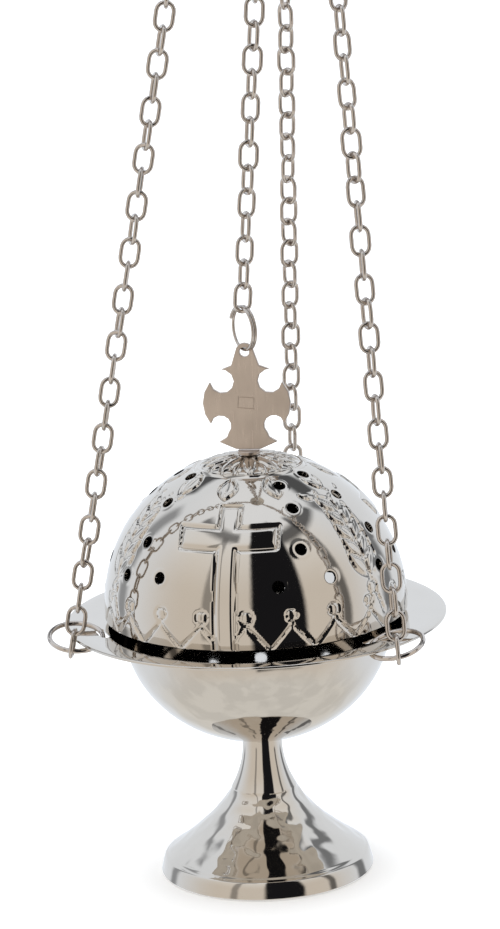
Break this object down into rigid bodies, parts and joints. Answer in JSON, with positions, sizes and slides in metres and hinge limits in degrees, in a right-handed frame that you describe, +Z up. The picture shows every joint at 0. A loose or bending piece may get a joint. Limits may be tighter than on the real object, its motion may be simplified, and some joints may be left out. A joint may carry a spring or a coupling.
{
  "type": "hanging thurible",
  "caption": "Footed metal incense burner with a flat-rimmed bowl and a pierced domed lid with a cross finial, hung from a cap and hand ring by side chains, with a chain that lifts the lid.",
  "frame": {"origin": "under the top of the hand ring's wire, where a hook or a finger carries it", "axes": "+Z up, along the hanging line; -Y towards the front of the lid's cross"},
  "size_m": [0.1234, 0.1262, 0.3978],
  "materials": {
    "polished": "mirror-polished nickel plate",
    "chain": "bright nickel-plated wire",
    "satin": "satin nickel plate",
    "steel": "plain steel",
    "cup": "matt, heat-blackened"
  },
  "bodies": {
    "hand_ring": {"hand_ring": "chain"},
    "hanger": {"bowl": "polished", "foot": "polished", "foot_screw": "steel", "foot_nut": "steel", "chain_cap": "chain", "cap_eye": "chain", "cap_nut": "steel", "chain_left": "chain", "chain_left_low_link": "chain", "chain_left_top_link": "chain", "chain_right": "chain", "chain_right_low_link": "chain", "chain_right_top_link": "chain", "chain_back": "chain", "chain_back_low_link": "chain", "chain_back_top_link": "chain"},
    "lid": {"lid": "polished", "finial_boss": "satin", "finial_nut": "steel", "finial_cross": "satin", "split_ring": "chain", "chain_lid": "chain", "chain_lid_low_link": "chain", "chain_lid_top_link": "chain", "lift_ring": "chain"},
    "cup": {"charcoal_cup": "cup"},
    "ring_left": {"rim_ring_left": "chain"},
    "ring_right": {"rim_ring_right": "chain"},
    "ring_back": {"rim_ring_back": "chain"}
  },
  "joints": [
    {"name": "swing", "type": "hinge", "parent": "hand_ring", "child": "hanger", "pos_m": [0, 0, -0.0315], "axis": [1, 0, 0], "range_deg": [-45, 45]},
    {"name": "lid_lift", "type": "slide", "parent": "hanger", "child": "lid", "axis": [0.085, 0.0453, 0.9954], "range_m": [0, 0.06]},
    {"name": "cup_lift", "type": "slide", "parent": "hanger", "child": "cup", "axis": [0, 0, 1], "range_m": [0, 0.02]},
    {"name": "ring_left_tilt", "type": "hinge", "parent": "hanger", "child": "ring_left", "pos_m": [-0.06258, -0.01364, -0.31315], "axis": [-0.2756, 0.9613, 0], "range_deg": [0, 1.6]},
    {"name": "ring_right_tilt", "type": "hinge", "parent": "hanger", "child": "ring_right", "pos_m": [0.02061, -0.03439, -0.31315], "axis": [-0.6947, -0.7193, 0], "range_deg": [0, 1.6]},
    {"name": "ring_back_tilt", "type": "hinge", "parent": "hanger", "child": "ring_back", "pos_m": [-0.00302, 0.04803, -0.31315], "axis": [0.9703, -0.2419, 0], "range_deg": [0, 1.6]}
  ]
}
